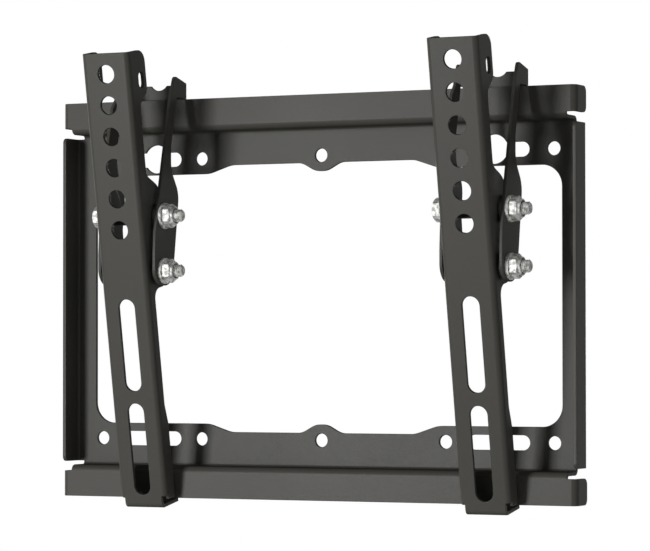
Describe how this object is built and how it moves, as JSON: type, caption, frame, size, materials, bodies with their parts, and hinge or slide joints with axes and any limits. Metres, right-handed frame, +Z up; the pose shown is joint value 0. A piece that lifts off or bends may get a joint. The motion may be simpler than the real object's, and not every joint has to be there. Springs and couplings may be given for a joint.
{
  "type": "tilting tv wall mount",
  "caption": "Low tilting wall mount for a flat screen: folded steel wall plate with rails along the top and bottom, and slotted arms that tilt in sliding hook brackets.",
  "frame": {"origin": "middle of the wall hole pattern, in the face that lies against the wall", "axes": "+X to the right along the wall, +Y into the wall, +Z up; the front faces -Y"},
  "size_m": [0.272, 0.0628, 0.219],
  "materials": {
    "coat": "satin dark grey powder coat",
    "zinc": "bright zinc plate",
    "nylon": "black moulded nylon"
  },
  "bodies": {
    "wall_plate": {"wall_plate": "coat"},
    "left_carriage": {"left_hook_bracket": "coat", "left_pivot_bolt": "zinc", "left_pivot_head_washer": "zinc", "left_pivot_sleeve": "nylon", "left_pivot_spacer": "nylon", "left_pivot_washer": "zinc", "left_pivot_nut": "zinc", "left_lock_bolt": "zinc", "left_lock_spacer": "nylon", "left_lock_washer": "zinc", "left_lock_nut": "zinc"},
    "left_arm": {"left_arm": "coat"},
    "right_carriage": {"right_hook_bracket": "coat", "right_pivot_bolt": "zinc", "right_pivot_head_washer": "zinc", "right_pivot_sleeve": "nylon", "right_pivot_spacer": "nylon", "right_pivot_washer": "zinc", "right_pivot_nut": "zinc", "right_lock_bolt": "zinc", "right_lock_spacer": "nylon", "right_lock_washer": "zinc", "right_lock_nut": "zinc"},
    "right_arm": {"right_arm": "coat"}
  },
  "joints": [
    {"name": "left_slide", "type": "slide", "parent": "wall_plate", "child": "left_carriage", "axis": [1, 0, 0], "range_m": [-0.032, 0.058]},
    {"name": "left_tilt", "type": "hinge", "parent": "left_carriage", "child": "left_arm", "pos_m": [-0.085, -0.0336, 0.0393], "axis": [1, 0, 0], "range_deg": [-10.3, 0]},
    {"name": "right_slide", "type": "slide", "parent": "wall_plate", "child": "right_carriage", "axis": [1, 0, 0], "range_m": [-0.0676, 0.0224]},
    {"name": "right_tilt", "type": "hinge", "parent": "right_carriage", "child": "right_arm", "pos_m": [0.0946, -0.0336, 0.0393], "axis": [1, 0, 0], "range_deg": [-10.3, 0]}
  ]
}
